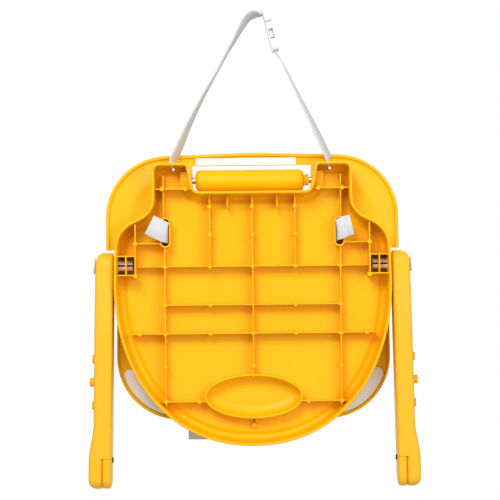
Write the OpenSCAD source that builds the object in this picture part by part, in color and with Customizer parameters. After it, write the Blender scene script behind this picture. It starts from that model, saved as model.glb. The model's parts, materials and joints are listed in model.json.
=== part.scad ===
// Folding toddler booster seat, folded flat and hanging from its carry strap.
// X runs to the right, Y away from the open underside, Z up. Millimetres.
// The origin is the point that the carry loop hangs from.

/* [Base] */
// Half width of the base at its widest
base_hw = 167.3; // [150:0.5:185]
// Height of the base's round front half
base_front_h = 198; // [170:1:230]
// Fullness of the round front, 2 for an ellipse
base_fullness = 2.15; // [2:0.05:2.6]
// Height of the two rear horns above the widest line
horn_rise = 143; // [125:1:160]
// Outer edge of a horn from the middle
horn_hw = 120.6; // [110:0.1:130]
// Depth of the perimeter wall
wall_d = 41; // [36:1:50]
// Thickness of the perimeter wall
wall_t = 3.3; // [2.5:0.1:4]
// Thickness of the pan
pan_t = 3; // [2:0.1:4]
// Thickness of the stiffening ribs
rib_t = 2; // [1.5:0.1:3]
// Depth of the main ribs' edges under the rim
rib_y = 14; // [8:1:20]
// Diameter of the ejector bosses on the ribs
boss_d = 5.4; // [4:0.1:7]

/* [Hinge notch] */
// Half width of the notch at its floor
notch_hw = 70; // [60:0.5:74]
// Half width of the notch at its mouth
notch_mouth_hw = 76.8; // [75:0.1:85]
// Depth of the notch below the horns' tops
notch_d = 34.6; // [30:0.2:42]

/* [Flange] */
// Half width of the rear flange
flange_hw = 178; // [170:0.5:190]
// Height of the flange's corners above the widest line
flange_rise = 150.5; // [145:0.5:165]
// Extra height of the flange in the middle
flange_crown = 5.2; // [0:0.2:8]
// Radius of the flange's rear corners
flange_r = 75; // [40:1:80]
// Width of the flange's outer lip
lip_w = 4; // [3:0.2:6]

/* [Backrest] */
// Radius of the hinge barrel
barrel_r = 13; // [10:0.2:14]
// Height of the hinge axis above the notch floor
hinge_rise = 13.6; // [13.4:0.1:16]
// Radius of the steel hinge rod
rod_r = 4; // [3:0.1:5]
// Room between the pan and the folded backrest
back_room = 17; // [16:0.5:25]
// Thickness of the backrest's rim, front to back
back_d = 23; // [18:1:30]
// Thickness of the backrest's plate and rim
back_t = 3.2; // [2.5:0.1:4]
// Half width of the backrest at the head end
back_hw = 168.5; // [150:0.5:169]
// Lowest edge of the folded backrest above the base's front edge
back_low = 28; // [15:1:40]
// Radius of the backrest's head corners
back_r = 77; // [40:1:90]
// Height of the head pad
pad_h = 60; // [30:1:90]
// Thickness of the head pad
pad_t = 5; // [3:0.5:7]

/* [Arms] */
// Depth of the arm pivot under the rim
pivot_y = 25; // [20:0.5:28]
// Height of the arm pivot above the base's widest line
pivot_rise = 19.5; // [14:0.5:24]
// Length of an arm below its pivot
arm_l = 269; // [220:1:300]
// Thickness of an arm
arm_t = 21.8; // [18:0.2:26]
// Width of an arm, front to back
arm_w = 44; // [36:1:46]
// Outward splay of an arm in degrees
splay = 1.1; // [0:0.1:2]
// Radius of the pivot pin
pin_r = 6.4; // [5:0.1:7.5]
// Height of a tray peg along the arm
peg_d = 11; // [8:0.5:14]
// Spacing of the tray pegs
peg_step = 28; // [20:0.5:34]

/* [Straps] */
// Width of the webbing
web_w = 25; // [20:0.5:27]
// Thickness of the webbing
web_t = 1.5; // [1:0.1:2]
// Length of a buckle
buckle_l = 54.5; // [48:0.5:60]
// Width of a buckle
buckle_w = 34; // [30:0.5:36]
// Thickness of a buckle
buckle_t = 8.4; // [7:0.1:9]

/* [Fits] */
// Radial running clearance of pins and rods
run_gap = 0.05; // [0.02:0.01:0.1]
// Side clearance between pieces that move past each other
side_gap = 0.7; // [0.4:0.1:1]
// Small seating gap between pieces of one body
seat_gap = 0.2; // [0.1:0.05:0.3]

/* [Hidden] */
$fn = 48;
big = 400;

yellow = "#FFC61E";
white = "#F2F2F0";
steel = "#B8BCC0";
dark = "#3A3630";

// Heights above the base's front edge
horn_z = base_front_h + horn_rise;
notch_z = horn_z - notch_d;
flange_z = base_front_h + flange_rise;
hinge_z = notch_z + hinge_rise;
pivot_z = base_front_h + pivot_rise;

// Depths under the rim
pan_y = wall_d - pan_t;
hinge_y = wall_d - 3;
back_y = wall_d + back_room;
strap_y = pan_y - 14;

// Carry loop: where it hangs, its anchors and the slanted buckle
loop_x = 6;
loop_z = horn_z + 179;
anchor_x = 94;
anchor_z = horn_z - 8;
strap_pin_r = 1.5;
buckle_at = [24, loop_z - 18.2];
buckle_tilt = -13.7;
tongue_l = 18;
plug_l = 20;

// Waist strap slots
slot_x = 105.2;
slot_z = base_front_h + 59;
slot_w = 9;
slot_h = web_w + 7.5;
slot_wall = 2;
belt_y = wall_d + 0.3 + web_t;
belt_buckle_y = belt_y + 3.4;
tail_x = -68.5;
tail_z = 5;

// Places of the arm pin's box and of the arms' details
box_x0 = base_hw - 26;
arm_x = base_hw + side_gap;
cover_s = arm_l - 37;
cover_t = arm_t / 2;
screw_s = arm_l - 34;
peg_s = 113;

// Arms swing clear of everything wider than this below the flange
flange_low = pivot_z + 18.5;

// ---- Outlines, as [x, z, corner radius] ----

function unit(v) = v / norm(v);
function arc_at(a, p, b, r, n) =
    let (u = unit([a.x - p.x, a.y - p.y]), v = unit([b.x - p.x, b.y - p.y]),
         half = acos(u * v) / 2,
         c = [p.x, p.y] + unit(u + v) * r / sin(half),
         s = [p.x, p.y] + u * r / tan(half) - c,
         e = [p.x, p.y] + v * r / tan(half) - c,
         a0 = atan2(s.y, s.x),
         turn = (atan2(e.y, e.x) - a0 + 540) % 360 - 180)
    [for (k = [0:n]) c + r * [cos(a0 + turn * k / n), sin(a0 + turn * k / n)]];
function rounded(p, n = 8) =
    [for (i = [0:len(p) - 1])
        each p[i][2] == 0 ? [[p[i].x, p[i].y]]
            : arc_at(p[(i + len(p) - 1) % len(p)], p[i], p[(i + 1) % len(p)], p[i][2], n)];
function mirrored(p) = [for (i = [len(p) - 1:-1:0]) [-p[i].x, p[i].y, p[i][2]]];
function pow_s(c, e) = sign(c) * pow(abs(c), e);
function front_curve(steps = 60) =
    [for (k = [0:steps]) let (t = 180 * k / steps)
        [base_hw * pow_s(cos(t), 2 / base_fullness),
         base_front_h * (1 - pow_s(sin(t), 2 / base_fullness)), 0]];

shoulder_z = base_front_h + 63;
band_z = notch_z + 31.6;
lug_x1 = notch_hw + 9;
barrel_x0 = -notch_hw + 1.5;
barrel_x1 = notch_hw - 6.5;
base_half = [[notch_hw, notch_z, 8], [notch_mouth_hw, horn_z, 6], [horn_hw, horn_z, 9],
             [horn_hw, shoulder_z + 21.7, 26], [base_hw - 1.9, shoulder_z, 36]];
base_outline = rounded(concat(base_half, front_curve(), mirrored(base_half)));

flange_half = [[flange_hw, flange_z, flange_r], [flange_hw, flange_low, 6]];
flange_outline = rounded(concat([[0, flange_z + flange_crown, 500]], flange_half,
                                mirrored(flange_half)), 12);

back_top = notch_z - 10.4;
back_half = [[base_hw - 2.3, back_top, 14], [back_hw, back_low, back_r]];
back_outline = rounded(concat(back_half, mirrored(back_half)), 14);

// ---- Placing ----

module place() translate([-loop_x, -strap_y, -loop_z]) children();
module slab(y0, y1)
    translate([0, y1, 0]) rotate([90, 0, 0]) linear_extrude(y1 - y0) children();
module along_x(x0, x1)
    translate([x0, 0, 0]) rotate([90, 0, 90]) linear_extrude(x1 - x0) children();
module rod_x(x0, x1, y, z, r)
    translate([x0, y, z]) rotate([0, 90, 0]) cylinder(h = x1 - x0, r = r);
module rod_y(y0, y1, x, z, r)
    translate([x, y1, z]) rotate([90, 0, 0]) cylinder(h = y1 - y0, r = r);
module both() { children(); mirror([1, 0, 0]) children(); }
module box(x0, x1, y0, y1, z0, z1) translate([x0, y0, z0]) cube([x1 - x0, y1 - y0, z1 - z0]);
module stadium(w, h) {
    square([w, h - w], center = true);
    for (s = [-1, 1]) translate([0, s * (h - w) / 2]) circle(d = w);
}

// ---- Base ----

module rib_up(x, z0, z1, y = rib_y)
    box(x - rib_t / 2, x + rib_t / 2, y, pan_y + 1, z0, z1);
module rib_across(z, x0, x1, y = rib_y)
    box(x0, x1, y, pan_y + 1, z - rib_t / 2, z + rib_t / 2);
module boss(x, z, y = rib_y)
    rod_y(y - 1.5, pan_y + 1, x, z, boss_d / 2);

// Rib lines: distances from the middle and heights
rib_x = [51.5, 106, 141];
rib_z = [52.8, 95.4, 135, 169.5, 216, 254.2, 288];
grip = [57, 24.5];
grip_z = 58.6;
horn_rib_z = horn_z - 31.4;

module ellipse(a, b) polygon([for (k = [0:47]) [a * cos(7.5 * k), b * sin(7.5 * k)]]);

module ribs() {
    rib_up(0, grip_z + grip.y - 1, notch_z - 2);
    both() {
        rib_up(rib_x[0], rib_z[4], notch_z - 2);
        rib_up(rib_x[1], rib_z[0] - 6, slot_z - slot_h / 2);
        rib_up(rib_x[1] + 1, horn_rib_z - 34, horn_rib_z + 17);
        rib_up(rib_x[2], rib_z[4] - 11, shoulder_z + 9.5, 2);
        rib_across(rib_z[0], grip.x - 2, rib_x[1] + 6);
        rib_across(rib_z[2], 0, 149);
        rib_across(rib_z[3], 0, rib_x[1]);
        rib_across(rib_z[4], 0, rib_x[2]);
        rib_across(slot_z - 13, slot_x + slot_w / 2, rib_x[2]);
        rib_across(horn_rib_z, notch_mouth_hw - 2.5, horn_hw - 1, 8);
    }
}

module bosses() {
    for (z = [rib_z[1], rib_z[2], rib_z[4], rib_z[5], rib_z[6]]) boss(0, z);
    both() {
        for (z = [rib_z[4], rib_z[5], rib_z[6]]) boss(rib_x[0], z);
        for (z = [rib_z[2], rib_z[3]]) boss(rib_x[0], z);
        for (z = [rib_z[0], rib_z[1], rib_z[2], rib_z[3], rib_z[4]]) boss(rib_x[1], z);
        boss(66, rib_z[0]);
        boss(137, rib_z[2]);
        boss(rib_x[2], slot_z - 13, 2.5);
        boss(rib_x[2], rib_z[4] - 11, 2.5);
        for (x = [notch_mouth_hw + 3.5, rib_x[1] + 2.5]) boss(x, horn_rib_z, 8);
    }
}

module pin_box() {
    for (z = [pivot_z - 11.5, pivot_z + 11.5])
        rib_across(z, box_x0, base_hw - 1, 3);
    rib_up(box_x0 + 11, pivot_z - 11.5, pivot_z + 11.5, 3);
    rib_up(box_x0, pivot_z - 11.5, pivot_z + 11.5, 3);
}

pocket_w = 2 * (strap_pin_r + web_t + 1.5);
pocket_d = web_w + 1;
module strap_pocket()
    translate([0, 0, -2])
        box(anchor_x - pocket_w / 2 - 2, anchor_x + pocket_w / 2 + 2,
            strap_y - pocket_d / 2 - 2, pan_y + 1, anchor_z - pocket_w / 2, horn_z + 1);

// The floor of the notch is a thicker beam with two recessed windows
module notch_beam() difference() {
    box(-notch_hw + 8, notch_hw - 8, 0, pan_y, notch_z - 6, notch_z - 1);
    both() box(19, 41, -1, 12, notch_z - 4, notch_z + 1);
}

module seat_shell() color(yellow) place() difference() {
    union() {
        slab(0, wall_d) difference() {
            polygon(base_outline);
            offset(delta = -wall_t) polygon(base_outline);
        }
        slab(pan_y, pan_y + pan_t) offset(delta = -wall_t / 2) polygon(base_outline);
        slab(wall_d - 1, wall_d + 3) flange_shape();
        slab(wall_d - 3, wall_d + 9) difference() {
            flange_shape();
            offset(delta = -lip_w) polygon(flange_outline);
        }
        intersection() {
            union() {
                ribs();
                bosses();
            }
            slab(0, wall_d) offset(delta = -1) polygon(base_outline);
        }
        notch_beam();
        both() {
            box(29, 31, rib_y, pan_y + 1, notch_z - 20, notch_z - 5);
            pin_box();
            hinge_lug();
            intersection() {
                strap_pocket();
                slab(0, wall_d) offset(delta = -1) polygon(base_outline);
            }
            slab(rib_y - 2, wall_d) translate([slot_x, slot_z])
                stadium(slot_w + 2 * slot_wall, slot_h + 2 * slot_wall);
        }
        slab(rib_y, pan_y + 1) translate([0, grip_z]) difference() {
            ellipse(grip.x + 2.5, grip.y + 2.5);
            ellipse(grip.x, grip.y);
        }
    }
    both() {
        slab(-1, wall_d + 8) translate([slot_x, slot_z]) stadium(slot_w, slot_h);
        rod_x(box_x0 + 3, base_hw + 9, pivot_y, pivot_z, pin_r + run_gap);
        rod_x(notch_hw - 4, lug_x1 + 1, hinge_y, hinge_z, rod_r + run_gap);
        // Room for the rod's end cap
        box(lug_x1, lug_x1 + 6, hinge_y - 9, wall_d + 5, hinge_z - 9, hinge_z + 9);
        box(anchor_x - pocket_w / 2, anchor_x + pocket_w / 2, strap_y - pocket_d / 2,
            strap_y + pocket_d / 2, anchor_z - pocket_w / 2, horn_z + 9);
        rod_y(strap_y - pocket_d / 2 - 3, pan_y + 1.5, anchor_x, anchor_z,
              strap_pin_r + run_gap);
    }
}

// The flange is open around the hinge for the backrest's neck, and ends above the arms
module flange_shape() difference() {
    polygon(flange_outline);
    translate([-notch_hw - 2, notch_z - 3]) square([2 * notch_hw + 4, band_z - notch_z + 3]);
    translate([-big, -big]) square([2 * big, big + flange_low]);
    offset(delta = -wall_t) polygon(base_outline);
}

// ---- Hinge ----

module hinge_lug()
    box(notch_hw + 3, lug_x1, hinge_y - 14, hinge_y + 12, hinge_z - 10, hinge_z + 11);
module hinge_rod() color(steel) place()
    rod_x(-lug_x1 - 4, lug_x1 + 4, hinge_y, hinge_z, rod_r);
module hinge_rod_caps() color(dark) place() both() difference() {
    rod_x(lug_x1 + seat_gap, lug_x1 + 5, hinge_y, hinge_z, rod_r + 2.5);
    rod_x(0, lug_x1 + 4 + seat_gap, hinge_y, hinge_z, rod_r + run_gap);
}
module hinge_spacer() color(yellow) place() difference() {
    rod_x(barrel_x1 + 0.4, notch_hw - 0.8, hinge_y, hinge_z, barrel_r - 6);
    rod_x(0, big, hinge_y, hinge_z, rod_r + run_gap);
}

// ---- Backrest ----

back_rib_x = [35, 95];
back_rib_z = [80, 150, 220];
pad_side = 4.5;
module rim(outline, t) difference() {
    polygon(outline);
    offset(delta = -t) polygon(outline);
}

module backrest_shell() color(yellow) place() difference() {
    union() {
        slab(back_y, back_y + back_t) polygon(back_outline);
        slab(back_y - 3, back_y + back_d - 3) rim(back_outline, back_t);
        slab(back_y + 1, back_y + back_d - 7) intersection() {
            union() {
                both() for (x = back_rib_x)
                    translate([x - rib_t / 2, back_low + 1]) square([rib_t, back_top - back_low - 2]);
                for (z = back_rib_z)
                    translate([-back_hw + 2, z]) square([2 * back_hw - 4, rib_t]);
            }
            offset(delta = -1) polygon(back_outline);
        }
        neck();
        barrel();
    }
    rod_x(-big, big, hinge_y, hinge_z, rod_r + run_gap);
    both() box(back_hw - 11, back_hw + 2, back_y - 4, back_y + 8, 95, 125);
}

// The barrel turns on the rod between the horns, and the neck reaches back to the panel
module barrel() translate([0, hinge_y, hinge_z]) {
    rod_x(barrel_x0 + 5, barrel_x1 - 5, 0, 0, barrel_r);
    translate([barrel_x0, 0, 0]) rotate([0, 90, 0]) cylinder(h = 5, r1 = barrel_r - 5, r2 = barrel_r);
    translate([barrel_x1 - 5, 0, 0]) rotate([0, 90, 0])
        cylinder(h = 5, r1 = barrel_r, r2 = barrel_r - 5);
}
module neck() along_x(-notch_hw + 8, notch_hw - 8)
    polygon([[hinge_y + 5, hinge_z - 10.5], [hinge_y + 2, hinge_z], [hinge_y + 12.2, hinge_z - 4.4],
             [back_y + 3, back_top + 4], [back_y + 6, back_top + 2], [back_y + 6, back_top - 6],
             [back_y, back_top - 6], [back_y, back_top - 1]]);

module backrest_pad() color(white) place()
    slab(back_y - pad_t - seat_gap, back_y - seat_gap) intersection() {
        offset(delta = -pad_side) polygon(back_outline);
        translate([-big, 0]) square([2 * big, back_low + pad_side + pad_h]);
    }

module label_film() color(white) place()
    box(-notch_hw + 2, notch_hw - 16, wall_d - 1 - seat_gap - 0.3, wall_d - 1 - seat_gap,
        band_z + 0.6, flange_z - 1);

// ---- Arms ----

// Front outline of the right arm, as [outward from its inner face, down from the pivot]
arm_front = rounded([[0, 15.6, 2], [arm_t, 15.6, 9], [arm_t, -arm_l + 69, 30],
                     [arm_t + 5.5, -arm_l + 45, 30], [arm_t + 5.5, -arm_l, 18],
                     [0, -arm_l, 4]]);
// Side outline of an arm, as [along Y from the pivot, up from the pivot]
arm_side = rounded([[-15.8, 15.6, 15], [15.8, 15.6, 15], [arm_w / 2, -80, 90],
                    [arm_w / 2, -arm_l, 20], [-arm_w / 2, -arm_l, 20],
                    [-arm_w / 2, -80, 90]]);

module at_arm()
    place() translate([arm_x, pivot_y, pivot_z]) rotate([0, -splay, 0]) children();
module arm_blank() intersection() {
    slab(-arm_w, arm_w) polygon(arm_front);
    along_x(-1, arm_t + 9) polygon(arm_side);
}
module arm_hole()
    rotate([0, 90 + splay, 0]) translate([0, 0, -9]) cylinder(h = arm_t + 20, r = pin_r + run_gap);

module arm() color(yellow) at_arm() difference() {
    union() {
        arm_blank();
        for (k = [0:2])
            translate([arm_t - 1, 0, -peg_s - k * peg_step]) rotate([0, 90, 0])
                cylinder(h = k == 1 ? 8 : 5, r = peg_d / 2);
    }
    arm_hole();
    translate([arm_t + 0.3, 0, 0]) rotate([0, 90, 0]) cylinder(h = 9, r = 12);
    // Hollow core, closed by the end cover
    along_x(2.6, arm_t - 2.6) intersection() {
        offset(delta = -3) polygon(arm_side);
        translate([-arm_w, -cover_s - 1]) square([2 * arm_w, cover_s - 23]);
    }
    box(-2, cover_t + seat_gap, -arm_w, arm_w, -arm_l - 2, -cover_s + seat_gap);
    translate([0, 0, -screw_s]) rotate([0, 90, 0]) cylinder(h = cover_t + 6, r = 1.7);
}
module arm_left() mirror_x() arm();
module arm_right() arm();
module mirror_x() translate([-2 * loop_x, 0, 0]) mirror([1, 0, 0]) children();

module arm_end_cover() color(yellow) at_arm() difference() {
    intersection() {
        arm_blank();
        box(-1, cover_t, -arm_w, arm_w, -arm_l - 1, -cover_s);
    }
    translate([-1, 0, -screw_s]) rotate([0, 90, 0]) cylinder(h = cover_t + 6, r = 1.7);
}
module arm_screw() color(dark) at_arm() translate([0, 0, -screw_s]) {
    translate([-1.6, 0, 0]) rotate([0, 90, 0]) cylinder(h = 1.5, r = 3.2);
    translate([-0.2, 0, 0]) rotate([0, 90, 0]) cylinder(h = cover_t + 4, r = 1.5);
}

// Snap pin: domed head outside the arm, split end inside the pin box
module arm_pin() color(white) place() translate([0, pivot_y, pivot_z]) difference() {
    union() {
        rod_x(box_x0 + 4, arm_x + arm_t + 0.9, 0, 0, pin_r);
        rod_x(arm_x + arm_t + 0.9, arm_x + arm_t + 2.6, 0, 0, 10);
        translate([base_hw - wall_t - 3.4, 0, 0]) rotate([0, 90, 0])
            cylinder(h = 2.4, r1 = pin_r, r2 = pin_r + 0.9);
    }
    box(box_x0, base_hw - 2, -pin_r - 2, pin_r + 2, -1.2, 1.2);
}

// ---- Straps ----

// Ribbon along points [x, z, twist], its width along Y turned by twist towards X
function ribbon_ring(p, q, r, y, w, t) =
    let (d = unit([r.x - p.x, 0, r.y - p.y]),
         side = [sin(q[2]) * d.z, cos(q[2]), -sin(q[2]) * d.x],
         out = cross(d, side), c = [q.x, y, q.y])
    [c + side * w / 2 + out * t / 2, c - side * w / 2 + out * t / 2,
     c - side * w / 2 - out * t / 2, c + side * w / 2 - out * t / 2];
module ribbon(p, y, w, t) {
    n = len(p);
    rings = [for (i = [0:n - 1])
        each ribbon_ring(p[max(i - 1, 0)], p[i], p[min(i + 1, n - 1)], y, w, t)];
    faces = concat([[0, 1, 2], [0, 2, 3]],
        [for (i = [0:n - 2], k = [0:3]) let (a = 4 * i + k, b = 4 * i + (k + 1) % 4)
            each [[a, a + 4, b + 4], [a, b + 4, b]]],
        [[4 * n - 2, 4 * n - 3, 4 * n - 4], [4 * n - 1, 4 * n - 2, 4 * n - 4]]);
    polyhedron(rings, faces);
}

// Carry strap routes from the base up to the buckle, as [x, z, twist]
left_route = [[-94, 338, 4], [-95, 344, 18], [-87, 361, 17], [-76, 386, 12], [-64, 410, 7],
              [-52, 432, 4], [-40, 453, 2], [-29, 473, 3], [-19, 490, 7], [-9, 508, 13],
              [-2, 517.5, 17], [6, 520.8, 15], [13.9, 519.8, 0], [21.4, 521.7, 0]];
right_route = [[94, 338, 4], [93, 346, 18], [88, 358, 18], [78, 380, 16], [68, 401, 12],
               [58, 421, 9], [48, 442, 7], [39, 461, 4], [33.5, 470, 2], [30.8, 474.6, 0]];
route_lift = loop_z - 520;

module strap_eye(x) difference() {
    union() {
        rod_y(strap_y - web_w / 2, strap_y + web_w / 2, x, anchor_z, strap_pin_r + 0.3 + web_t);
        box(x - web_t, x + web_t, strap_y - web_w / 2, strap_y + web_w / 2,
            anchor_z + 2, horn_z - 1);
    }
    rod_y(0, pan_y + 9, x, anchor_z, strap_pin_r + 0.3);
}
module carry_strap(route, x) color(white) place() {
    strap_eye(x);
    translate([0, 0, route_lift]) ribbon(route, strap_y, web_w - 0.4, web_t);
}
module carry_strap_left() carry_strap(left_route, -anchor_x);
module carry_strap_right() carry_strap(right_route, anchor_x);
module carry_strap_pins() color(steel) place() both()
    rod_y(strap_y - pocket_d / 2 - 2, pan_y + 1, anchor_x, anchor_z, strap_pin_r);

// Buckle halves, standing on Z with the tongue's frame on top and the middle at the origin
socket_top = buckle_l / 2 - tongue_l;
plug_w = buckle_w - 10;
module buckle_outline(w, z0, z1, r) polygon(rounded(
    [[-w / 2, z0, r], [-w / 2, z1, r], [w / 2, z1, r], [w / 2, z0, r]]));
module flat_x(t) rotate([0, 0, 90]) slab(-t / 2, t / 2) children();

module buckle_socket() difference() {
    flat_x(buckle_t) buckle_outline(buckle_w, -buckle_l / 2, socket_top - seat_gap, 4);
    box(-buckle_t / 2 + 1.6, buckle_t / 2 - 1.6, -plug_w / 2 - 1, plug_w / 2 + 1,
        -buckle_l / 2 + 11, socket_top + 1);
    // Side windows for the prongs
    box(-buckle_t / 2 + 1.6, buckle_t / 2 - 1.6, -buckle_w, buckle_w,
        -buckle_l / 2 + 15, -buckle_l / 2 + 27);
    // Slot for the webbing and its cross bar
    box(-buckle_t, buckle_t, -web_w / 2 - 1, web_w / 2 + 1, -buckle_l / 2 + 3, -buckle_l / 2 + 8);
}
module buckle_tongue() difference() {
    union() {
        flat_x(buckle_t) buckle_outline(buckle_w, socket_top, buckle_l / 2, 3);
        // Middle guide and two prongs
        box(-2.2, 2.2, -2, 2, socket_top - plug_l, socket_top + 1);
        for (s = [-1, 1])
            box(-2.2, 2.2, s > 0 ? plug_w / 2 - 4 : -plug_w / 2, s > 0 ? plug_w / 2 : 4 - plug_w / 2,
                socket_top - plug_l, socket_top + 1);
    }
    for (z = [socket_top + 3, socket_top + 9.2])
        box(-buckle_t, buckle_t, -web_w / 2 - 1, web_w / 2 + 1, z, z + 3.5);
}
module at_carry_buckle()
    place() translate([buckle_at.x, strap_y, buckle_at.y]) rotate([0, buckle_tilt, 0]) children();
module carry_socket() color(white) at_carry_buckle() buckle_socket();
module carry_tongue() color(white) at_carry_buckle() buckle_tongue();

// The waist buckle lies across the seat behind the pan, its tongue to the left
module at_waist_buckle()
    place() translate([0, belt_buckle_y, slot_z]) rotate([0, -90, 0]) rotate([0, 0, 90]) children();
module waist_socket() color(white) at_waist_buckle() buckle_socket();
module waist_tongue() color(white) at_waist_buckle() buckle_tongue();

// Half of the waist strap: a tab under the seat, the slot, and the belt behind the pan
module waist_half(end_x) {
    x0 = slot_x - slot_w / 2 + 0.3;
    translate([x0 + 0.5, rib_y - 5, slot_z]) rotate([0, -22, 0]) rotate([0, 0, -12])
        translate([0, 0, -web_w / 2]) cube([20, web_t, web_w]);
    box(x0, x0 + web_t, rib_y - 5, belt_y + web_t, slot_z - web_w / 2, slot_z + web_w / 2);
    box(end_x, x0 + web_t, belt_y, belt_y + web_t, slot_z - web_w / 2, slot_z + web_w / 2);
}
belt_end = buckle_l / 2 + 0.3;
module waist_strap_right() color(white) place() waist_half(belt_end);
module waist_strap_left() color(white) place() {
    mirror([1, 0, 0]) waist_half(belt_end);
    slab(belt_y - web_t, belt_y) polygon(rounded(
        [[tail_x - web_w / 2, tail_z, 4], [tail_x - web_w / 2, slot_z, 0],
         [tail_x + web_w / 2, slot_z, 0], [tail_x + web_w / 2, tail_z, 4]]));
}

module arm_pin_left() mirror_x() arm_pin();
module arm_pin_right() arm_pin();
module arm_end_cover_left() mirror_x() arm_end_cover();
module arm_end_cover_right() arm_end_cover();
module arm_screw_left() mirror_x() arm_screw();
module arm_screw_right() arm_screw();

seat_shell();
hinge_rod();
hinge_rod_caps();
hinge_spacer();
arm_pin_left();
arm_pin_right();
carry_strap_pins();
carry_strap_left();
carry_strap_right();
carry_socket();
carry_tongue();
waist_strap_left();
waist_strap_right();
waist_socket();
waist_tongue();
backrest_shell();
backrest_pad();
label_film();
arm_left();
arm_right();
arm_end_cover_left();
arm_end_cover_right();
arm_screw_left();
arm_screw_right();
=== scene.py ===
# %% [markdown]
# # A folding toddler booster seat, hanging by its carry strap
# The CAD gives the frame: where each body is, how it turns and how big it is. Here each piece gets
# the surface that the moulded, woven or turned original has. All lengths are in metres in the row's
# frame, and the small helper V turns the drawing's millimetres into it.

# %% Frame, kit and drawing values
import json
import math
import bmesh
import bpy
import numpy as np
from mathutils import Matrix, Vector


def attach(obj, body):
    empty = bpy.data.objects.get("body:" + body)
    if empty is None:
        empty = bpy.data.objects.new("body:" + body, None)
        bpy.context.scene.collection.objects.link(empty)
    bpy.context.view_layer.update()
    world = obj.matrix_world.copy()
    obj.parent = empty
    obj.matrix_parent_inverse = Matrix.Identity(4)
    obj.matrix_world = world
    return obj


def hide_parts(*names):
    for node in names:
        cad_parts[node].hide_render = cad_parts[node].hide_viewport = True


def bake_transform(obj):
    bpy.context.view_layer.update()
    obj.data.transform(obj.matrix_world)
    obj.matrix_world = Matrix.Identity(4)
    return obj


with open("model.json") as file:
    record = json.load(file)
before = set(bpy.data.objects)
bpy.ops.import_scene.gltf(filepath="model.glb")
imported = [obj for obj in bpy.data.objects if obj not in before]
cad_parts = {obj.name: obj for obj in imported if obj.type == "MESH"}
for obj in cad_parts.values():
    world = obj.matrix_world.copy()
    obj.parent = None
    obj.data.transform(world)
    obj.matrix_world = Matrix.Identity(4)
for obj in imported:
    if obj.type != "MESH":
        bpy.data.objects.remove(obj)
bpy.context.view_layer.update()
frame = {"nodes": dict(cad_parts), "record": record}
scene = bpy.context.scene
NODES = frame["nodes"]
ORIGIN = Vector((6, 24, 520))


def V(x, y, z):
    return (Vector((x, y, z)) - ORIGIN) / 1000


# %% [markdown]
# ## Outlines
# Moulded parts are drawn as outlines with a radius at every corner. The same outlines drive the
# walls, the pan, the flange and the backrest, so neighbours always fit. Points are spaced closely
# enough that the offset copies inside them stay smooth.

# %% Outline helpers
def rounded(points, step=6):
    """Points [x, z, radius] as a closed outline with an arc at each corner."""
    out = []
    n = len(points)
    for i, (x, z, r) in enumerate(points):
        p = Vector((x, z))
        if r == 0:
            out.append(p)
            continue
        u = (Vector(points[i - 1][:2]) - p).normalized()
        v = (Vector(points[(i + 1) % n][:2]) - p).normalized()
        half = math.acos(max(-1, min(1, u.dot(v)))) / 2
        c = p + (u + v).normalized() * r / math.sin(half)
        s, e = p + u * r / math.tan(half) - c, p + v * r / math.tan(half) - c
        a0 = math.atan2(s.y, s.x)
        turn = (math.atan2(e.y, e.x) - a0 + 3 * math.pi) % (2 * math.pi) - math.pi
        k = max(2, int(abs(turn) * 180 / math.pi / step))
        out += [c + r * Vector((math.cos(a0 + turn * j / k), math.sin(a0 + turn * j / k)))
                for j in range(k + 1)]
    return out


def mirrored(points):
    return [(-x, z, r) for x, z, r in reversed(points)]


def refine(path, step=3.0):
    """The same closed outline with no edge longer than step."""
    out = []
    for a, b in zip(path, path[1:] + path[:1]):
        k = max(1, math.ceil((b - a).length / step))
        out += [a.lerp(b, j / k) for j in range(k)]
    return [p for i, p in enumerate(out) if (p - out[i - 1]).length > 1e-4]


REACH = {}


def normals(path):
    """Unit normals into the outline, and how far each point can go in before it meets another side."""
    key = (len(path), round(path[0].x, 3), round(path[0].y, 3), round(path[-1].y, 3))
    if key not in REACH:
        pts = np.array([(p.x, p.y) for p in path])
        edge = np.roll(pts, -1, 0) - pts
        edge /= np.linalg.norm(edge, axis=1)[:, None]
        t = edge + np.roll(edge, 1, 0)
        t /= np.maximum(np.linalg.norm(t, axis=1), 1e-6)[:, None]
        area = np.sum(pts[:, 0] * np.roll(pts[:, 1], -1) - np.roll(pts[:, 0], -1) * pts[:, 1])
        inward = np.sign(area) * np.stack([-t[:, 1], t[:, 0]], 1)
        reach = np.zeros(len(pts))
        going = np.ones(len(pts), bool)
        for d in np.arange(0.5, 60, 0.5):
            q = pts + inward * d
            near = np.linalg.norm(q[:, None] - pts[None], axis=2).min(1)
            going &= near > d - 0.3
            reach[going] = d
        REACH[key] = inward, reach - 0.8
    return REACH[key]


def inset(path, d):
    """The outline moved inwards by d, where a point all but stops once it meets another side."""
    inward, reach = normals(path)
    return [p + Vector(n) * (d if d <= r else r + 0.01 * (d - r))
            for p, n, r in zip(path, inward, reach)]


BASE_HALF = [(70, 306.4, 8), (76.8, 341, 6), (120.6, 341, 9), (120.6, 282.7, 26), (165.4, 261, 36)]
FRONT = []
for k in range(121):
    t = math.pi * k / 120
    c, s = math.cos(t), math.sin(t)
    FRONT.append((167.3 * math.copysign(abs(c) ** (2 / 2.15), c), 198 * (1 - s ** (2 / 2.15)), 0))
BASE = refine(rounded(BASE_HALF + FRONT + mirrored(BASE_HALF)))
FLANGE_HALF = [(178, 348.5, 75), (178, 150, 6)]
FLANGE = refine(rounded([(0, 353.7, 500)] + FLANGE_HALF + mirrored(FLANGE_HALF)))
BACK_HALF = [(165, 296, 14), (168.5, 28, 77)]
BACK = refine(rounded(BACK_HALF + mirrored(BACK_HALF)))
print("outline points", len(BASE), len(FLANGE), len(BACK))


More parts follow.
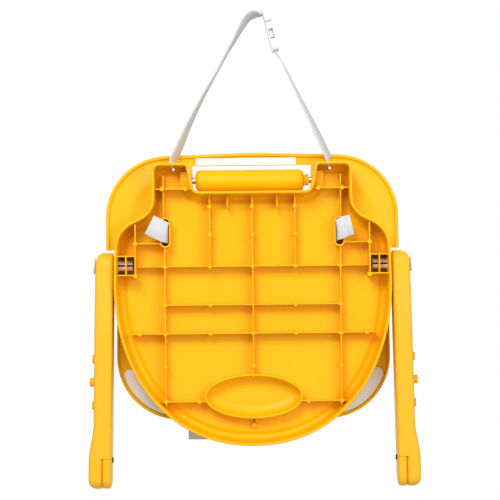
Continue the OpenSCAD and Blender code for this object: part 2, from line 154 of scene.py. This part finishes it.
# %% [markdown]
# ## Mesh helpers
# A moulded tray is one skin: its section runs round the outline, and the two faces close it. Ribs
# are thin plates with a slightly rounded free edge, because a sharp edge would tear in the mould.

# %% Mesh helpers
def finish_mesh(bm, name, mat, body, smooth=40):
    """Turns a bmesh into a piece that rides on a body, with outward faces and smooth shading."""
    bmesh.ops.remove_doubles(bm, verts=bm.verts, dist=1e-7)
    bmesh.ops.recalc_face_normals(bm, faces=bm.faces)
    me = bpy.data.meshes.new(name)
    bm.to_mesh(me)
    bm.free()
    ob = bpy.data.objects.new(name, me)
    scene.collection.objects.link(ob)
    if mat:
        me.materials.append(mat)
    me.shade_smooth()
    me.set_sharp_from_angle(angle=math.radians(smooth))
    if body:
        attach(ob, body)
    return ob


def skin(bm, rings, holes=()):
    """Joins rings of points, all of one count, and fills both ends, open at the holes' outlines."""
    rows = [[bm.verts.new(p) for p in ring] for ring in rings]
    n = len(rows[0])
    for a, b in zip(rows, rows[1:]):
        for i in range(n):
            bm.faces.new((a[i], a[(i + 1) % n], b[(i + 1) % n], b[i]))
    if not holes:
        bm.faces.new(list(reversed(rows[0])))
        bm.faces.new(rows[-1])
        return
    ends = [[(row[i], row[(i + 1) % n]) for i in range(n)] for row in (rows[0], rows[-1])]
    for hole in holes:
        back, front = [[bm.verts.new(V(p.x, y, p.y)) for p in hole[0]] for y in hole[1:]]
        m = len(back)
        for i in range(m):
            j = (i + 1) % m
            bm.faces.new((back[i], back[j], front[j], front[i]))
            ends[0].append((back[i], back[j]))
            ends[1].append((front[i], front[j]))
    for pairs in ends:
        bmesh.ops.triangle_fill(bm, edges=[bm.edges.get(e) for e in pairs], normal=(0, 1, 0),
                                use_beauty=True)


def tray(outline, section, holes=()):
    """A closed skin whose section is given as (inset, depth) pairs, ending at its deepest inset.
    A point that can't go in any further stays at the depth the section has there."""
    reach = normals(outline)[1]
    last = max(range(len(section)), key=lambda k: section[k][0])
    first = last
    while first and section[first - 1][0] <= section[first][0]:
        first -= 1
    ds, ys = zip(*section[first:last + 1])
    bm = bmesh.new()
    rings = []
    for d, y in section:
        deep = [y if d <= r or d < 4.1 else float(np.interp(r, ds, ys)) for r in reach]
        rings.append([V(p.x, h, p.y) for p, h in zip(inset(outline, d), deep)])
    skin(bm, rings, holes)
    return bm


def add_box(bm, x0, x1, y0, y1, z0, z1, r=0.5, draft=0.0):
    """A plate with rounded edges; its y0 face is narrower by the draft."""
    made = bmesh.ops.create_cube(bm, size=1)["verts"]
    for v in made:
        x = x0 if v.co.x < 0 else x1
        z = z0 if v.co.z < 0 else z1
        front = v.co.y < 0
        if front and draft:
            x += draft if v.co.x < 0 else -draft
            z += draft if v.co.z < 0 else -draft
        v.co = V(x, y0 if front else y1, z)
    if r:
        edges = list({e for v in made for e in v.link_edges})
        bmesh.ops.bevel(bm, geom=edges, offset=r / 1000, affect="EDGES", segments=2,
                        profile=0.5, material=-1)


def add_turned(bm, at, axis, profile, segments=32):
    """A turned solid: profile is (distance along the axis, radius) pairs in millimetres."""
    axis = Vector(axis).normalized()
    side = axis.orthogonal().normalized()
    up = axis.cross(side)
    rings = []
    for s, r in profile:
        c = Vector(at) + axis * s / 1000
        rings.append([c + (side * math.cos(a) + up * math.sin(a)) * max(r, 0.01) / 1000
                      for a in (2 * math.pi * k / segments for k in range(segments))])
    skin(bm, rings)


# %% [markdown]
# ## Materials
# Moulded polypropylene is never one flat colour: the sheen wanders, the surface keeps a fine grain
# from the tool, and handling leaves soft scuffs. Webbing is woven, so its bump follows the yarns.

# %% Node wrapper and materials
class Wire:
    """An output socket that can be added, multiplied and so on."""

    def __init__(self, mat, socket):
        self.mat, self.socket = mat, socket

    def _op(self, kind, a, b):
        return self.mat.node("ShaderNodeMath", {0: a, 1: b}, operation=kind)

    def __add__(self, o): return self._op("ADD", self, o)
    def __radd__(self, o): return self._op("ADD", o, self)
    def __sub__(self, o): return self._op("SUBTRACT", self, o)
    def __rsub__(self, o): return self._op("SUBTRACT", o, self)
    def __mul__(self, o): return self._op("MULTIPLY", self, o)
    def __rmul__(self, o): return self._op("MULTIPLY", o, self)


class Paint:
    """A material, with one method that makes a node and links its inputs."""

    def __init__(self, name, color, rough, **sockets):
        self.m = bpy.data.materials.new(name)
        self.m.use_nodes = True
        self.t = self.m.node_tree
        self.b = self.t.nodes["Principled BSDF"]
        self.b.inputs["Base Color"].default_value = (*color, 1)
        self.b.inputs["Roughness"].default_value = rough
        for k, v in sockets.items():
            self.b.inputs[k.replace("_", " ")].default_value = v

    def node(self, kind, inputs={}, out=0, **props):
        n = self.t.nodes.new(kind)
        for k, v in props.items():
            setattr(n, k, v)
        for k, v in inputs.items():
            if isinstance(v, Wire):
                self.t.links.new(v.socket, n.inputs[k])
            else:
                n.inputs[k].default_value = v
        return Wire(self, n.outputs[out])

    def place(self):
        return self.node("ShaderNodeTexCoord", out="Object")

    def noise(self, scale, detail=3.0, rough=0.55):
        return self.node("ShaderNodeTexNoise", {"Vector": self.place(), "Scale": scale,
                                                "Detail": detail, "Roughness": rough})

    def mix(self, factor, a, b):
        return self.node("ShaderNodeMix", {"Factor": factor, 6: (*a, 1), 7: (*b, 1)}, out=2,
                         data_type="RGBA")

    def use(self, socket, wire):
        self.t.links.new(wire.socket, self.b.inputs[socket])

    def bump(self, height, strength, distance):
        self.use("Normal", self.node("ShaderNodeBump", {"Height": height, "Strength": strength,
                                                        "Distance": distance}))


def plastic(name, light, dark, rough, grain=900, **sockets):
    p = Paint(name, light, rough, **sockets)
    cloud = p.noise(9, 4)
    p.use("Base Color", p.mix(cloud, dark, light))
    p.use("Roughness", p.noise(35, 5) * 0.16 + (rough - 0.08))
    p.bump(p.noise(grain, 2) * 0.6 + p.noise(14, 2) * 0.5, 0.12, 0.0004)
    return p.m


def webbing(name, light, dark):
    """Yarns from the strap's own UV: u runs across the strap and v along it, both in metres."""
    p = Paint(name, light, 0.85)
    uv = p.node("ShaderNodeUVMap", uv_map="weave")
    xyz = p.node("ShaderNodeSeparateXYZ", {0: uv})
    u, v = xyz, Wire(p, xyz.socket.node.outputs[1])
    rows = p.node("ShaderNodeMath", {0: v * 3140.0}, operation="SINE")
    ends = p.node("ShaderNodeMath", {0: u * 4500.0 + v * 900.0}, operation="SINE")
    weave = rows * 0.5 + ends * 0.35 + p.noise(300, 3) * 0.5
    tone = p.node("ShaderNodeMapRange", {0: weave, 1: -0.5, 2: 1.0, 3: 0.0, 4: 1.0})
    p.use("Base Color", p.mix(tone, dark, light))
    p.use("Roughness", p.noise(60, 3) * 0.2 + 0.75)
    p.bump(weave, 0.5, 0.0004)
    return p.m


def metal(name, color, rough):
    p = Paint(name, color, rough, Metallic=1.0)
    p.use("Roughness", p.noise(400, 3) * 0.2 + (rough - 0.1))
    p.bump(p.noise(700, 2), 0.08, 0.0002)
    return p.m


YELLOW = plastic("yellow plastic", (1.0, 0.55, 0.004), (0.96, 0.50, 0.002), 0.38,
                 Specular_IOR_Level=0.18)
BRIGHT = plastic("arm yellow", (0.97, 0.53, 0.022), (0.94, 0.49, 0.014), 0.42,
                 Specular_IOR_Level=0.22)
WHITE = plastic("white plastic", (0.80, 0.80, 0.79), (0.74, 0.74, 0.73), 0.38)
WEB = webbing("white webbing", (0.82, 0.82, 0.82), (0.62, 0.62, 0.63))
PAD = plastic("pad cover", (0.86, 0.86, 0.85), (0.80, 0.80, 0.79), 0.6, 500)
STEEL = metal("zinc steel", (0.55, 0.56, 0.58), 0.35)
DARK = metal("dark steel", (0.05, 0.045, 0.04), 0.5)
FILM = plastic("label film", (0.88, 0.88, 0.87), (0.84, 0.84, 0.83), 0.25, 1500)
by_slot = {"yellow_plastic": YELLOW, "white_plastic": WHITE, "white_webbing": WEB, "pad_cover": PAD,
           "zinc_steel": STEEL, "dark_steel": DARK, "label_film": FILM}
for entry in frame["record"]["subparts"]:
    ob = NODES[entry["node"]]
    for s in ob.material_slots:
        s.material = by_slot[entry["material_slot"]]
print("materials", len(by_slot))

# %% [markdown]
# ## Base tray
# The base is one shot of polypropylene: a deep wall, a pan and a round ridge inside the wall where
# the seat's dish begins. The rim is rounded so that it doesn't cut the hand that carries it.

# %% Base tray
SECTION = [(0, 41), (0, 20), (0, 1.2), (0.35, 0.35), (1.2, 0), (2.1, 0), (2.95, 0.35), (3.3, 1.2),
           (3.9, 24), (4.6, 31), (6.2, 35), (8.6, 37), (11, 36.6), (13, 35), (14.6, 34.1),
           (16.5, 34), (20, 34.6)]
slots = [(rounded([(c - 4.5, 240.8, 4.4), (c + 4.5, 240.8, 4.4), (c + 4.5, 273.2, 4.4),
                   (c - 4.5, 273.2, 4.4)], 15), 41, 34.6) for c in (-105.2, 105.2)]
seat_tray = finish_mesh(tray(BASE, SECTION, slots), "seat_tray", YELLOW, "seat", 50)
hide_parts("seat_shell")
print("base tray", len(seat_tray.data.polygons), "faces")

# %% [markdown]
# ## Ribs, bosses and boxes
# Ribs stiffen the pan. Each boss marks an ejector pin of the mould. The ribs by the pins and slots
# come nearly up to the rim, the others stop lower.

# %% Ribs
bm = bmesh.new()
RIB_Y, FLOOR = 14, 36.5


def up(x, z0, z1, y=RIB_Y):
    add_box(bm, x - 1, x + 1, y, FLOOR, z0, z1, 0.45, 0.25)


def across(z, x0, x1, y=RIB_Y):
    add_box(bm, min(x0, x1), max(x0, x1), y, FLOOR, z - 1, z + 1, 0.45, 0.25)


def boss(x, z, y=RIB_Y):
    add_turned(bm, V(x, FLOOR, z), (0, -1, 0),
               [(0, 3), (FLOOR - y + 0.9, 2.7), (FLOOR - y + 1.5, 2.2)], 20)


up(0, 82, 304)
for z in (95.4, 135, 216, 254.2, 288):
    boss(0, z)
for s in (-1, 1):
    up(s * 51.5, 216, 304)
    up(s * 106, 47, 239)
    up(s * 107, 275, 326)
    up(s * 141, 205, 268, 4)
    up(s * 30, 286, 302)
    across(52.8, s * 55, s * 111)
    across(135, 0, s * 148)
    across(169.5, 0, s * 106)
    across(216, 0, s * 141)
    across(244, s * 110, s * 141)
    across(309.6, s * 74, s * 119, 9)
    for z in (216, 254.2, 288, 135, 169.5):
        boss(s * 51.5, z)
    for z in (52.8, 95.4, 134.5, 169.5, 216):
        boss(s * 106, z)
    boss(s * 66, 52.8)
    boss(s * 137, 135)
    boss(s * 141, 244, 4)
    boss(s * 141, 205, 4)
    boss(s * 80.3, 309.6, 9)
    boss(s * 108.5, 309.6, 9)
    for z in (206, 229):
        across(z, s * 141, s * 164, 3)
    up(s * 152.5, 206, 229, 3)
    up(s * 141.3, 206, 229, 3)
    add_box(bm, min(s * 73, s * 87), max(s * 73, s * 87), 24, 50, 310, 331, 1.5)
# Small double rib and boss at the front edge
for x in (-2.2, 2.2):
    add_box(bm, x - 0.7, x + 0.7, 28, FLOOR, 26.4, 33.7, 0.3)
boss(0, 22.8, 28)
ribs = finish_mesh(bm, "seat_ribs", YELLOW, "seat", 35)
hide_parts("seat_shell")
print("ribs", len(ribs.data.polygons), "faces")

# %% [markdown]
# ## Slot collars and grip pocket
# The waist strap runs through two long slots with a raised collar. A shallow elliptical pocket near
# the front gives the fingers a grip.

# %% Collars and pocket
bm = bmesh.new()


def loop_wall(outline, section):
    """A closed ring: the section (inset, depth) goes round the outline and back to its start."""
    rows = [[bm.verts.new(V(p.x, y, p.y)) for p in inset(outline, d)] for d, y in section]
    n = len(rows[0])
    for a, b in zip(rows, rows[1:] + rows[:1]):
        for i in range(n):
            bm.faces.new((a[i], a[(i + 1) % n], b[(i + 1) % n], b[i]))


for s in (-1, 1):
    stadium = rounded([(s * 105.2 - 6.5, 238.7, 6.4), (s * 105.2 + 6.5, 238.7, 6.4),
                       (s * 105.2 + 6.5, 275.3, 6.4), (s * 105.2 - 6.5, 275.3, 6.4)], 12)
    loop_wall(stadium, [(0, 38), (0, 12.6), (0.3, 12.1), (0.8, 12), (1.3, 12), (1.8, 12.3),
                        (2, 12.8), (2, 38)])
oval = [Vector((59.5 * math.cos(t), 58.6 + 27 * math.sin(t)))
        for t in (2 * math.pi * k / 96 for k in range(96))]
loop_wall(oval, [(0, 38), (0, 14.8), (0.4, 14.2), (1, 14), (1.7, 14), (2.2, 14.3), (2.5, 15),
                 (2.9, 26), (5, 30.5), (9, 33), (14, 34.2), (14, 38)])
collars = finish_mesh(bm, "seat_collars", YELLOW, "seat", 50)
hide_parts("seat_shell")
print("collars and pocket", len(collars.data.polygons), "faces")

# %% [markdown]
# ## Rear flange
# A broad rim stands out behind the base. Its edge has a lip, then a band slopes back to a soft ridge
# before the surface runs in under the wall. The notch is open so that the backrest can swing.

# %% Flange
FLANGE_SECTION = ([(20, 44), (3.8, 44), (3.8, 50), (3.2, 50.4), (0.6, 50.4), (0, 50), (0, 39),
                   (0.4, 38.3), (1.2, 38), (2.9, 38), (3.6, 38.3), (4, 39), (4.6, 41.2), (7, 41.6),
                   (16, 40.4), (26, 38.8), (29.5, 38.5), (32, 39), (36, 40), (44, 40.4)])


def trimmed(bm, planes):
    """Keeps what lies behind each plane (point, outward direction) and closes the cuts."""
    for co, no in planes:
        geom = bm.verts[:] + bm.edges[:] + bm.faces[:]
        bmesh.ops.bisect_plane(bm, geom=geom, plane_co=co, plane_no=no, clear_outer=True)
        bmesh.ops.holes_fill(bm, edges=[e for e in bm.edges if e.is_boundary], sides=0)
    return bm


for tag, planes in (("crown", [(V(0, 0, 338), (0, 0, -1))]),
                    ("left", [(V(0, 0, 338), (0, 0, 1)), (V(0, 0, 236.3), (0, 0, -1)),
                              (V(-72, 0, 0), (1, 0, 0))]),
                    ("right", [(V(0, 0, 338), (0, 0, 1)), (V(0, 0, 236.3), (0, 0, -1)),
                               (V(72, 0, 0), (-1, 0, 0))])):
    seat_flange = finish_mesh(trimmed(tray(FLANGE, FLANGE_SECTION), planes), "seat_flange_" + tag,
                              YELLOW, "seat", 40)
    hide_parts("seat_shell")
print("flange", len(seat_flange.data.polygons), "faces")

# %% [markdown]
# ## Backrest
# The backrest lies folded behind the seat. Its panel has a deep rim, ribs on the rear and a barrel
# that turns on the steel rod. A soft pad covers the head end.

# %% Backrest
bm = tray(BACK, [(12, 62), (5, 62), (3.4, 63.5), (3.2, 76), (2.9, 77.7), (1.8, 78), (1, 78),
                 (0.3, 77.6), (0, 76.8), (0, 57), (0.4, 55.6), (1.2, 55), (2.2, 55), (2.9, 55.5),
                 (3.2, 56.5), (3.6, 57.6), (5, 58), (12, 58.3)])
back = finish_mesh(bm, "back_panel", YELLOW, None, 45)
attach(back, "backrest")
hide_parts("backrest_shell")
bm = bmesh.new()
for x in (-95, -35, 35, 95):
    add_box(bm, x - 1, x + 1, 60, 71, 32, 293, 0.4)
for z in (80, 150, 220):
    add_box(bm, -163, 163, 60, 71, z, z + 2, 0.4)
neck = [(43, 309.5), (40, 320), (50.2, 315.6), (61, 300), (64, 298), (64, 290), (58, 290), (58, 295)]
skin(bm, [[V(x, y, z) for y, z in neck] for x in (-62, 62)])
barrel = [(0, 0.01), (0, 7), (0.9, 10), (2.4, 11.8), (4.4, 12.8), (6.6, 13), (125.4, 13),
          (127.6, 12.8), (129.6, 11.8), (131.1, 10), (132, 7), (132, 0.01)]
add_turned(bm, V(-68.5, 38, 320), (1, 0, 0), barrel, 64)
hinge = finish_mesh(bm, "back_ribs_and_barrel", YELLOW, "backrest", 35)
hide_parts("backrest_shell")
pad_outline = inset(BACK, 4.5)
top_z = 92.5
ring = [p for p in pad_outline if p.y < top_z]
k = next(i for i in range(len(ring)) if (ring[i] - ring[i - 1]).length > 60)
ring = ring[k:] + ring[:k]
ring = refine(rounded([(ring[0].x, ring[0].y, 8)] + [(p.x, p.y, 0) for p in ring[4:-4]]
                      + [(ring[-1].x, ring[-1].y, 8)]))
bm = bmesh.new()
skin(bm, [[V(p.x, y, p.y) for p in inset(ring, d)]
          for d, y in [(1.5, 57.8), (0.4, 57), (0, 55.8), (0.3, 54.4), (1.4, 53.3), (3.2, 52.8)]])
pad = finish_mesh(bm, "back_pad", PAD, "backrest", 60)
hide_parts("backrest_pad")
print("backrest", len(back.data.polygons) + len(hinge.data.polygons), "faces, pad",
      len(pad.data.polygons))

# %% [markdown]
# ## Arms
# Each arm is a closed box with soft edges, splayed a little so that it clears the flange. Three round
# pegs take the tray. A cover closes the moulding's open end and a dark screw holds it.

# %% Arms
TILT = math.radians(1.1)


def arm_outer(s):
    """Distance from an arm's inner face to its outer face, s below the pivot."""
    t = max(0, min(1, (s - 190) / 45))
    return 21.8 + 5.5 * t * t * (3 - 2 * t)


def arm_half(s):
    t = max(0, min(1, (s + 5) / 90))
    return 15.6 + 6.4 * t * t * (3 - 2 * t)


def arm_ring(s, side, x0, x1, half, r=4.5, seg=6):
    pts = []
    for cx, cy, a0 in ((x1 - r, half - r, 0), (x0 + r, half - r, 90), (x0 + r, r - half, 180),
                       (x1 - r, r - half, 270)):
        for k in range(seg + 1):
            a = math.radians(a0 + 90 * k / seg)
            x, y = cx + r * math.cos(a), cy + r * math.sin(a)
            px = x * math.cos(TILT) + s * math.sin(TILT)
            pz = -s * math.cos(TILT) + x * math.sin(TILT)
            pts.append(V(side * (168 + px), 25 + y, 217.5 + pz))
    return pts


def arm_loft(side, x0, x1, s0, s1, round0, round1, name, body, node):
    """Sections down the arm; the ends draw in over round0 and round1 millimetres."""
    steps = [s0 + (s1 - s0) * k / 90 for k in range(91)]
    if round0:
        steps += [s0 + round0 * (1 - math.cos(math.radians(a))) for a in range(5, 90, 10)]
    if round1:
        steps += [s1 - round1 * (1 - math.cos(math.radians(a))) for a in range(5, 90, 10)]
    rings = []
    for s in sorted(steps):
        h, o, i = arm_half(s), x1 or arm_outer(s), x0
        for limit, size in ((s - s0, round0), (s1 - s, round1)):
            if size and limit < size:
                q = math.sqrt(max(0, 1 - (1 - limit / size) ** 2))
                h -= (1 - q) * size * (1.0 if size > 10 else 0.6)
                if not x1:
                    o -= (1 - q) * min(size, 9)
                i += (1 - q) * 1.5
        rings.append(arm_ring(s, side, i, o, max(h, 2.2), min(4.5, h - 0.1, (o - i) / 2.2)))
    bm = bmesh.new()
    skin(bm, rings)
    if not x1 and not x0:
        for k, proud in ((0, 4), (1, 7), (2, 4)):
            at = (arm_ring(113 + 28 * k, side, 20, 22, 1.4, 0.5, 1)[0]
                  + arm_ring(113 + 28 * k, side, 20, 22, 1.4, 0.5, 1)[4]) / 2
            add_turned(bm, at, (side * math.cos(TILT), 0, math.sin(TILT)),
                       [(-2, 5.5), (proud - 1.2, 5.5), (proud - 0.5, 5.2), (proud, 4.3)], 32)
    ob = finish_mesh(bm, name, BRIGHT, body, 40)
    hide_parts(node)
    return ob


for side, tag in ((-1, "left"), (1, "right")):
    arm = arm_loft(side, 0, None, -15.6, 232, 15.6, 0, "arm_upper_" + tag, tag + "_arm", "arm_" + tag)
    low = arm_loft(side, 11.1, None, 232, 269, 0, 12, "low_" + tag, tag + "_arm", "arm_" + tag)
    cover = arm_loft(side, 0, 10.9, 232.3, 268.6, 0, 12, "cover_" + tag, tag + "_arm",
                     "arm_end_cover_" + tag)
    print("arm", tag, len(arm.data.polygons) + len(low.data.polygons) + len(cover.data.polygons))

# %% [markdown]
# ## Webbing
# Straps are flat woven ribbons. Taut webbing runs nearly straight and turns slowly about its own
# line. The mesh follows the same route as the CAD's ribbon, in short steps.

# %% Camera and straps
cam = bpy.data.objects.new("camera", bpy.data.cameras.new("camera"))
scene.collection.objects.link(cam)
cam.location = V(-3, -2600, 235.2)
cam.rotation_euler = (math.radians(90), math.radians(0.6), 0)
cam.data.lens = 156
cam.data.sensor_width = 36
cam.data.clip_end = 20
scene.camera = cam


def smooth_path(points, per=8):
    """Catmull-Rom through points of any size."""
    pts = [Vector(p) for p in points]
    pts = [pts[0] * 2 - pts[1]] + pts + [pts[-1] * 2 - pts[-2]]
    out = []
    for i in range(1, len(pts) - 2):
        a, b, c, d = pts[i - 1:i + 3]
        for k in range(per):
            t = k / per
            out.append(0.5 * (2 * b + (c - a) * t + (2 * a - 5 * b + 4 * c - d) * t * t
                              + (3 * b - a - 3 * c + d) * t ** 3))
    out.append(pts[-2])
    return out


def ribbon(name, path, width, thick, body):
    """path holds (point in the row frame, unit vector across the strap)."""
    bm = bmesh.new()
    uv = bm.loops.layers.uv.new("weave")
    rings, along, far = [], [], 0.0
    n = len(path)
    for i, (p, side) in enumerate(path):
        d = (path[min(i + 1, n - 1)][0] - path[max(i - 1, 0)][0]).normalized()
        side = (side - d * side.dot(d)).normalized()
        out = d.cross(side)
        if i:
            far += (p - path[i - 1][0]).length
        w, t = width / 2, thick / 2
        shape = [(-w, 0.3), (-w + 0.3 * thick, 1), (0, 1), (w - 0.3 * thick, 1), (w, 0.3),
                 (w, -0.3), (w - 0.3 * thick, -1), (0, -1), (-w + 0.3 * thick, -1), (-w, -0.3)]
        rings.append([bm.verts.new(p + side * a + out * t * b) for a, b in shape])
        along.append((far, [a for a, b in shape]))
    for i in range(n - 1):
        for j in range(10):
            k = (j + 1) % 10
            f = bm.faces.new((rings[i][j], rings[i][k], rings[i + 1][k], rings[i + 1][j]))
            spots = ((i, j), (i, k), (i + 1, k), (i + 1, j))
            for loop, (a, b) in zip(f.loops, spots):
                loop[uv].uv = (along[a][1][b], along[a][0])
    bm.faces.new(rings[0])
    bm.faces.new(list(reversed(rings[-1])))
    ob = finish_mesh(bm, name, WEB, body, 60)
    return ob, far


def carry(name, route, node):
    pts = smooth_path([(x, t, z) for x, z, t in route])
    path = []
    for i, p in enumerate(pts):
        q, r = pts[max(i - 1, 0)], pts[min(i + 1, len(pts) - 1)]
        d = Vector((r.x - q.x, 0, r.z - q.z)).normalized()
        a = math.radians(p.y)
        path.append((V(p.x, 24, p.z), Vector((math.sin(a) * d.z, math.cos(a), -math.sin(a) * d.x))))
    ob, length = ribbon(name, path, 0.0246, 0.0015, None)
    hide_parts(node)
    return ob, length, [p for p, side in path]


LEFT = [(-94, 334, 4), (-95, 344, 18), (-87, 361, 17), (-76, 386, 12), (-64, 410, 7), (-52, 432, 4),
        (-40, 453, 2), (-29, 473, 3), (-19, 490, 7), (-9, 508, 13), (-2, 517.5, 17), (6, 520.8, 15),
        (13.9, 519.8, 0), (21.4, 521.7, 0)]
RIGHT = [(94, 334, 4), (93, 346, 18), (88, 358, 18), (78, 380, 16), (68, 401, 12), (58, 421, 9),
         (48, 442, 7), (39, 461, 4), (33.5, 470, 2), (30.8, 474.6, 0)]
left, left_length, left_path = carry("carry_left", LEFT, "carry_strap_left")
right, right_length, right_path = carry("carry_right", RIGHT, "carry_strap_right")
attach(right, "seat")
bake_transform(left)
print("carry strap", round(left_length, 3), round(right_length, 3))

# %% [markdown]
# ## Waist strap
# The waist strap passes out through the slots. Under the seat only a short folded tab shows on each
# side. Behind the pan the belt is buckled, and its spare end hangs down past the front edge.

# %% Waist strap
for s, tag, tip in ((-1, "left", (-125.6, 267.5)), (1, "right", (121.7, 265.2))):
    upright = Vector((0, 0, 1))
    mid = 258.5 if s > 0 else 256.9
    lean = Vector((s * -0.40, 0, 0.915))
    pts = smooth_path([(s * 27.6, 43.6, 257), (s * 60, 43.6, 257), (s * 96, 43.6, 257),
                       (s * 101.6, 41.5, 257), (s * 102.4, 36, 257), (s * 102.4, 22, 257),
                       (s * 102.8, 11, mid), (s * 106, 7.6, mid + 1.2), (s * 113, 6, mid + 4.6),
                       (tip[0] * 0.985, 4.5, tip[1] - 0.5)], 10)
    path = []
    for i, p in enumerate(pts):
        f = max(0, min(1, (i - 56) / 18))
        path.append((V(p.x, p.y, p.z), upright.lerp(lean, f)))
    belt, length = ribbon("waist_belt_" + tag, path, 0.0246, 0.0014, "seat" if s > 0 else None)
    if s < 0:
        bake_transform(belt)
    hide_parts("waist_strap_" + tag)
tail = smooth_path([(-68.5, 42.2, 252), (-68.5, 42, 200), (-68.5, 42, 120), (-68.5, 42.2, 60),
                    (-68.5, 42, 25), (-68.5, 41.8, 5)], 10)
spare, length = ribbon("waist_tail", [(V(*p), Vector((1, 0, 0))) for p in tail], 0.0236, 0.0014,
                       "seat")
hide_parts("waist_strap_left")
print("waist strap drawn, tail", round(length, 3))

# %% [markdown]
# ## Light and background
# A white studio: the camera, mirror rays and see-through rays meet plain white, and the surfaces are
# lit by a dimmer sky with large soft lamps, so that the white comes from the backdrop alone.

# %% Light
world = bpy.data.worlds.new("studio")
scene.world = world
world.use_nodes = True
t = world.node_tree
t.nodes.clear()
path_node = t.nodes.new("ShaderNodeLightPath")
white, sky = t.nodes.new("ShaderNodeBackground"), t.nodes.new("ShaderNodeBackground")
white.inputs[0].default_value, white.inputs[1].default_value = (1, 1, 1, 1), 1
sky.inputs[0].default_value, sky.inputs[1].default_value = (0.96, 0.98, 1, 1), 0.55
seen = t.nodes.new("ShaderNodeMath")
seen.operation = "MAXIMUM"
seen2 = t.nodes.new("ShaderNodeMath")
seen2.operation = "MAXIMUM"
mix, out = t.nodes.new("ShaderNodeMixShader"), t.nodes.new("ShaderNodeOutputWorld")
t.links.new(path_node.outputs["Is Camera Ray"], seen.inputs[0])
t.links.new(path_node.outputs["Is Glossy Ray"], seen.inputs[1])
t.links.new(seen.outputs[0], seen2.inputs[0])
t.links.new(path_node.outputs["Is Transmission Ray"], seen2.inputs[1])
t.links.new(seen2.outputs[0], mix.inputs[0])
t.links.new(sky.outputs[0], mix.inputs[1])
t.links.new(white.outputs[0], mix.inputs[2])
t.links.new(mix.outputs[0], out.inputs[0])


def lamp(name, at, energy, size):
    light = bpy.data.lights.new(name, "AREA")
    light.energy, light.size = energy, size
    ob = bpy.data.objects.new(name, light)
    ob.location = at
    aim = V(0, 20, 220) - Vector(at)
    ob.rotation_euler = aim.to_track_quat("-Z", "Y").to_euler()
    scene.collection.objects.link(ob)


lamp("key", (-0.5, -1.9, 0.75), 24, 0.7)
lamp("fill", (0.9, -1.8, 0.1), 12, 1.0)
lamp("rear", (0.5, 2.3, 0.5), 14, 1.2)
scene.view_settings.view_transform = "Standard"
print("studio ready")
